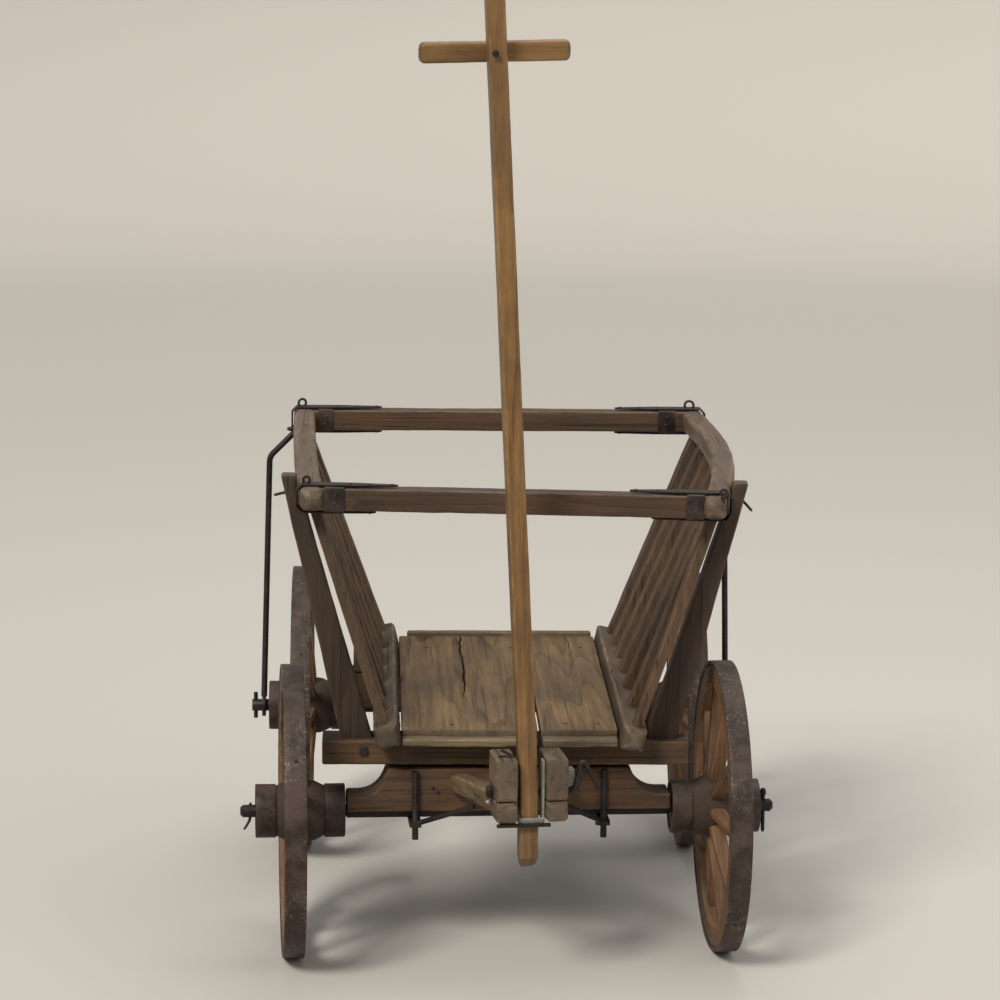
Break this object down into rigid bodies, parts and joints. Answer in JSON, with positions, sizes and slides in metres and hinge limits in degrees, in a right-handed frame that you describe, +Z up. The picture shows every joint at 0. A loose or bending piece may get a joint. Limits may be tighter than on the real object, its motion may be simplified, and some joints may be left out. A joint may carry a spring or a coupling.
{
  "type": "wooden ladder-sided hand wagon",
  "caption": "Small weathered hand wagon: slatted side ladders leaning outwards over a plank floor, spoked iron-tyred wheels, turning front axle and an upright pull tongue.",
  "frame": {"origin": "on the floor, under the middle of the bounding box", "axes": "+X to the right seen from the front of the wagon where the tongue is, +Y to the rear of the wagon, +Z up"},
  "size_m": [0.822, 1.0986, 1.5294],
  "materials": {
    "axle_wood": "dark red-brown weathered hardwood",
    "floor_wood": "worn bare board, yellow-brown with grey patches",
    "rail_wood": "grey-brown, smooth from handling",
    "slat_wood": "brown weathered lath",
    "stake_wood": "dark brown weathered hardwood",
    "pole_wood": "golden brown, waxed by handling",
    "fork_wood": "grey-brown dry oak",
    "wheel_wood": "orange-brown, dusty",
    "tyre_iron": "rusted iron with worn bright specks",
    "black_iron": "near-black forged iron with rust"
  },
  "bodies": {
    "wagon_body": {"reach": "axle_wood", "bolster_front": "axle_wood", "bolster_rear": "axle_wood", "axle_bed_rear": "axle_wood", "floor_board_left": "floor_wood", "floor_board_right": "floor_wood", "floor_batten_left": "floor_wood", "floor_batten_right": "floor_wood", "floor_cleat": "floor_wood", "rail_upper_left": "rail_wood", "rail_lower_left": "rail_wood", "rail_upper_right": "rail_wood", "rail_lower_right": "rail_wood", "crossbar_front": "rail_wood", "crossbar_rear": "rail_wood", "slat_left_1": "slat_wood", "slat_left_2": "slat_wood", "slat_left_3": "slat_wood", "slat_left_4": "slat_wood", "slat_left_5": "slat_wood", "slat_left_6": "slat_wood", "slat_left_7": "slat_wood", "slat_right_1": "slat_wood", "slat_right_2": "slat_wood", "slat_right_3": "slat_wood", "slat_right_4": "slat_wood", "slat_right_5": "slat_wood", "slat_right_6": "slat_wood", "slat_right_7": "slat_wood", "stake_left": "stake_wood", "stake_right": "stake_wood", "axle_bar_rear": "black_iron", "strap_front_left": "black_iron", "strap_front_right": "black_iron", "strap_rear_left": "black_iron", "strap_rear_right": "black_iron", "stay_left": "black_iron", "stay_right": "black_iron"},
    "front_truck": {"axle_bed_front": "axle_wood", "axle_bar_front": "black_iron", "kingpin": "black_iron", "axle_clip_left": "black_iron", "axle_clip_right": "black_iron", "hound_left": "axle_wood", "hound_right": "axle_wood", "jaw_left": "fork_wood", "jaw_right": "fork_wood", "tongue_pin": "black_iron", "tongue_stop": "black_iron"},
    "tongue": {"tongue_pole": "pole_wood", "handle": "pole_wood"},
    "front_left_wheel": {"wheel_front_left": "wheel_wood", "tyre_front_left": "tyre_iron"},
    "front_right_wheel": {"wheel_front_right": "wheel_wood", "tyre_front_right": "tyre_iron"},
    "rear_left_wheel": {"wheel_rear_left": "wheel_wood", "tyre_rear_left": "tyre_iron"},
    "rear_right_wheel": {"wheel_rear_right": "wheel_wood", "tyre_rear_right": "tyre_iron"}
  },
  "joints": [
    {"name": "steering", "type": "hinge", "parent": "wagon_body", "child": "front_truck", "pos_m": [0, -0.30199, 0.297], "axis": [0, 0, 1], "range_deg": [-24.76, 19.24]},
    {"name": "tongue_lift", "type": "hinge", "parent": "front_truck", "child": "tongue", "pos_m": [0.02302, -0.51062, 0.307], "axis": [0.993, 0.1177, 0], "range_deg": [0, 97.5]},
    {"name": "front_left_spin", "type": "hinge", "parent": "front_truck", "child": "front_left_wheel", "pos_m": [-0.32962, -0.31788, 0.2237], "axis": [0.9988, 0.0482, 0], "continuous": true},
    {"name": "front_right_spin", "type": "hinge", "parent": "front_truck", "child": "front_right_wheel", "pos_m": [0.32962, -0.2861, 0.2237], "axis": [0.9988, 0.0482, 0], "continuous": true},
    {"name": "rear_left_spin", "type": "hinge", "parent": "wagon_body", "child": "rear_left_wheel", "pos_m": [-0.326, 0.31401, 0.2353], "axis": [1, 0, 0], "continuous": true},
    {"name": "rear_right_spin", "type": "hinge", "parent": "wagon_body", "child": "rear_right_wheel", "pos_m": [0.326, 0.31401, 0.2353], "axis": [1, 0, 0], "continuous": true}
  ]
}
